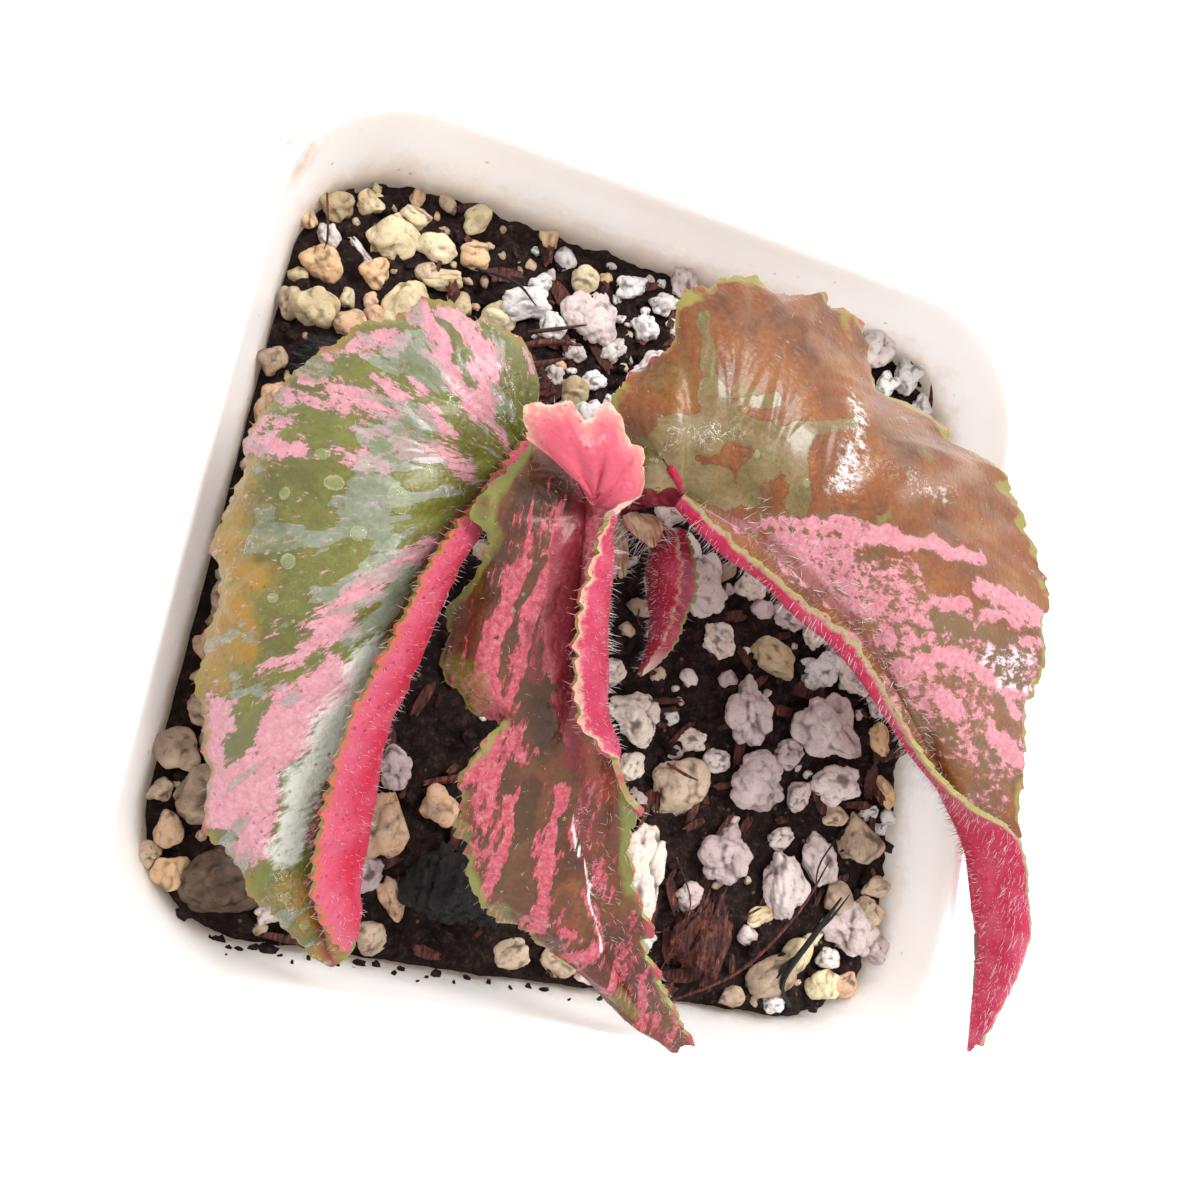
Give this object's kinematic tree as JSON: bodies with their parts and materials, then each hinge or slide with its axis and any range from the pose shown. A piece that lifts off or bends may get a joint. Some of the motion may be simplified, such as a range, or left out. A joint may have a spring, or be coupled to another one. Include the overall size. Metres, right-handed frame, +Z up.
{
  "type": "potted begonia",
  "caption": "Small begonia with big lopsided curled leaves, growing in gritty black soil in a square white plastic pot.",
  "frame": {"origin": "middle of the pot's foot, on the surface it stands on", "axes": "+Z up; X and Y along the pot's sides, the largest leaf pointing to +X and -Y"},
  "size_m": [0.0886, 0.08, 0.0944],
  "materials": {
    "pot": "translucent white polypropylene, satin",
    "soil": "damp black potting mix, matt",
    "stem": "fleshy pink stem with fine hairs",
    "leaf_left": "wet olive leaf with pink flecks",
    "leaf_middle": "wet coral and brown leaf, crimson underside",
    "leaf_right": "wet bronze and pink leaf, crimson underside",
    "leaf_young": "crimson folded leaf, satin",
    "stipule_right": "papery buff scale",
    "stipule_front": "papery greyish scale",
    "pebble_cream": "cream pebble, matt",
    "pebble_beige": "beige stone, matt",
    "pumice_lilac": "pinkish white pumice, matt",
    "stone_brown": "brown grey stone, matt",
    "charcoal": "black charcoal, matt",
    "bark": "red-brown bark, matt"
  },
  "bodies": {
    "root": {"pot": "pot", "soil": "soil", "stem": "stem", "leaf_left": "leaf_left", "leaf_middle": "leaf_middle", "leaf_right": "leaf_right", "leaf_young": "leaf_young", "stipule_right": "stipule_right", "stipule_front": "stipule_front", "pebble_cream_1": "pebble_cream", "pebble_cream_2": "pebble_cream", "pebble_cream_3": "pebble_cream", "pebble_cream_4": "pebble_cream", "pebble_cream_5": "pebble_cream", "pebble_beige_1": "pebble_beige", "pebble_beige_2": "pebble_beige", "pebble_beige_3": "pebble_beige", "pebble_beige_4": "pebble_beige", "pebble_beige_5": "pebble_beige", "pebble_beige_6": "pebble_beige", "pebble_beige_7": "pebble_beige", "pebble_beige_8": "pebble_beige", "pebble_beige_9": "pebble_beige", "pebble_beige_10": "pebble_beige", "pumice_lilac_1": "pumice_lilac", "pumice_lilac_2": "pumice_lilac", "pumice_lilac_3": "pumice_lilac", "pumice_lilac_4": "pumice_lilac", "pumice_lilac_5": "pumice_lilac", "pumice_lilac_6": "pumice_lilac", "pumice_lilac_7": "pumice_lilac", "pumice_lilac_8": "pumice_lilac", "pumice_lilac_9": "pumice_lilac", "pumice_lilac_10": "pumice_lilac", "pumice_lilac_11": "pumice_lilac", "stone_brown": "stone_brown", "charcoal_1": "charcoal", "charcoal_2": "charcoal", "bark_1": "bark", "bark_2": "bark"}
  },
  "joints": []
}
